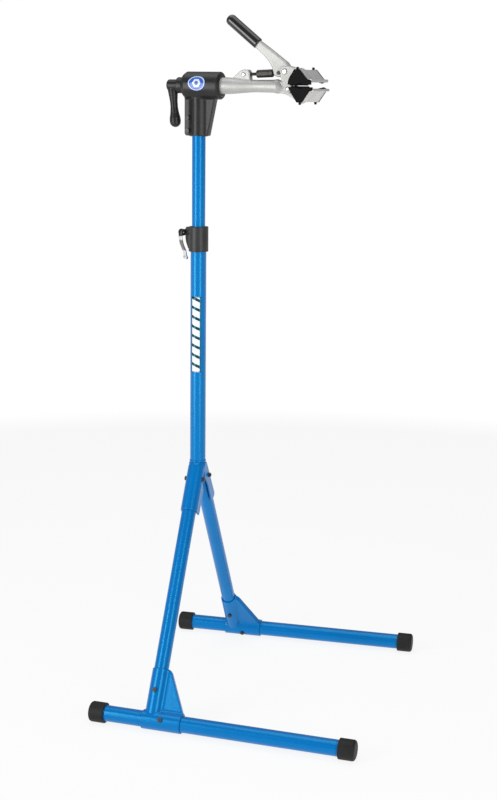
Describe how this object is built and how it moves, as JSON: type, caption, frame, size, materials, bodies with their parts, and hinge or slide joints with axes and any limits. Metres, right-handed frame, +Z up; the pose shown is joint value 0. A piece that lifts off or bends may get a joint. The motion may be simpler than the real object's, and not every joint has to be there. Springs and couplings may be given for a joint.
{
  "type": "folding bicycle repair stand",
  "caption": "Folding work stand for bicycles: tubular A-legs on long feet, height-adjustable mast, rolling head and lever clamp with lined jaws.",
  "frame": {"origin": "on the floor, at the centre of the stand's box", "axes": "+X the way the feet and clamp arm reach, +Y towards the folding leg, +Z up"},
  "size_m": [0.6504, 0.7462, 1.643],
  "materials": {
    "blue_paint": "gloss",
    "black_rubber": "matte",
    "grip_rubber": "satin",
    "black_casting": "satin",
    "black_plastic": "satin",
    "silver_casting": "satin",
    "jaw_plate_metal": "brushed",
    "dark_steel": "satin",
    "bright_steel": "polished",
    "lever_metal": "polished",
    "nylon": "matte",
    "badge_print": "gloss"
  },
  "bodies": {
    "base": {"lower_post": "blue_paint", "leg_crown": "blue_paint", "fixed_leg_tube": "blue_paint", "fixed_leg_bolt": "dark_steel", "fixed_leg_nut": "dark_steel", "pivot_bolt": "dark_steel", "pivot_nut": "dark_steel", "fixed_foot_bracket": "blue_paint", "fixed_bracket_bolts": "dark_steel", "fixed_bracket_nuts": "dark_steel", "fixed_foot_tube": "blue_paint", "fixed_toe_cap": "black_rubber", "fixed_heel_cap": "black_rubber", "collar": "black_casting", "skewer": "bright_steel", "skewer_nut": "black_plastic", "cam_seat": "black_plastic", "cam_pin": "bright_steel", "guide_bush": "nylon"},
    "folding_leg": {"folding_leg_tube": "blue_paint", "pivot_bush": "bright_steel", "folding_foot_bracket": "blue_paint", "folding_bracket_bolts": "dark_steel", "folding_bracket_nuts": "dark_steel", "folding_foot_tube": "blue_paint", "folding_toe_cap": "black_rubber", "folding_heel_cap": "black_rubber"},
    "cam_lever": {"cam_lever": "lever_metal"},
    "glide": {"mast_glide": "nylon"},
    "mast": {"mast_tube": "blue_paint", "glide_clip": "bright_steel", "mast_plug": "nylon", "head_casting": "black_casting", "pinch_screws": "dark_steel", "pinch_nuts": "dark_steel", "barrel_bush_front": "nylon", "barrel_bush_rear": "nylon", "head_badge": "badge_print", "lock_boss": "black_casting"},
    "clamp_arm": {"arm_casting": "silver_casting", "trim_ring": "black_plastic", "lock_stud": "bright_steel", "link_pin": "bright_steel", "jaw_pin": "bright_steel", "lower_jaw_plate": "jaw_plate_metal", "lower_liner": "black_rubber"},
    "lock_knob": {"lock_knob": "black_plastic"},
    "upper_jaw": {"upper_jaw_casting": "silver_casting", "upper_jaw_plate": "jaw_plate_metal", "upper_liner": "black_rubber", "handle_pin": "bright_steel"},
    "handle": {"handle_casting": "silver_casting", "grip": "grip_rubber", "toggle_pin": "dark_steel"},
    "link": {"link_rod": "dark_steel"},
    "adjuster": {"adjuster": "dark_steel"}
  },
  "joints": [
    {"name": "leg_fold", "type": "hinge", "parent": "base", "child": "folding_leg", "pos_m": [-0.16714, 0.0246, 0.53131], "axis": [-1, 0, 0], "range_deg": [0, 57]},
    {"name": "mast_height", "type": "slide", "parent": "base", "child": "glide", "axis": [0, 0, 1], "range_m": [-0.2, 0.12]},
    {"name": "mast_swivel", "type": "hinge", "parent": "glide", "child": "mast", "pos_m": [-0.16714, 0, 1.2], "axis": [0, 0, 1], "continuous": true},
    {"name": "arm_roll", "type": "hinge", "parent": "mast", "child": "clamp_arm", "pos_m": [-0.16714, 0, 1.4815], "axis": [0.9945, -0.1045, 0], "continuous": true},
    {"name": "lock_turn", "type": "hinge", "parent": "clamp_arm", "child": "lock_knob", "pos_m": [-0.22681, 0.00627, 1.4815], "axis": [0.9945, -0.1045, 0], "range_deg": [-180, 180]},
    {"name": "cam_open", "type": "hinge", "parent": "base", "child": "cam_lever", "pos_m": [-0.21013, 0.00651, 1.135], "axis": [-0.7071, 0.7071, 0], "range_deg": [0, 165]},
    {"name": "jaw_open", "type": "hinge", "parent": "clamp_arm", "child": "upper_jaw", "pos_m": [0.06011, -0.02388, 1.4757], "axis": [-0.1045, -0.9945, 0], "range_deg": [0, 19]},
    {"name": "handle_swing", "type": "hinge", "parent": "upper_jaw", "child": "handle", "pos_m": [0.05215, -0.02305, 1.515], "axis": [0.1045, 0.9945, 0], "range_deg": [0, 99]},
    {"name": "link_swing", "type": "hinge", "parent": "clamp_arm", "child": "link", "pos_m": [-0.05078, -0.01223, 1.5075], "axis": [-0.1045, -0.9945, 0], "range_deg": [0, 9.4]},
    {"name": "adjuster_turn", "type": "hinge", "parent": "link", "child": "adjuster", "pos_m": [-0.05078, -0.01223, 1.5075], "axis": [0.9933, -0.1044, 0.0494], "continuous": true}
  ],
  "couplings": [
    {"joint": "handle_swing", "follows": "jaw_open", "ratio": 5.2105},
    {"joint": "link_swing", "follows": "jaw_open", "ratio": 0.49474}
  ]
}
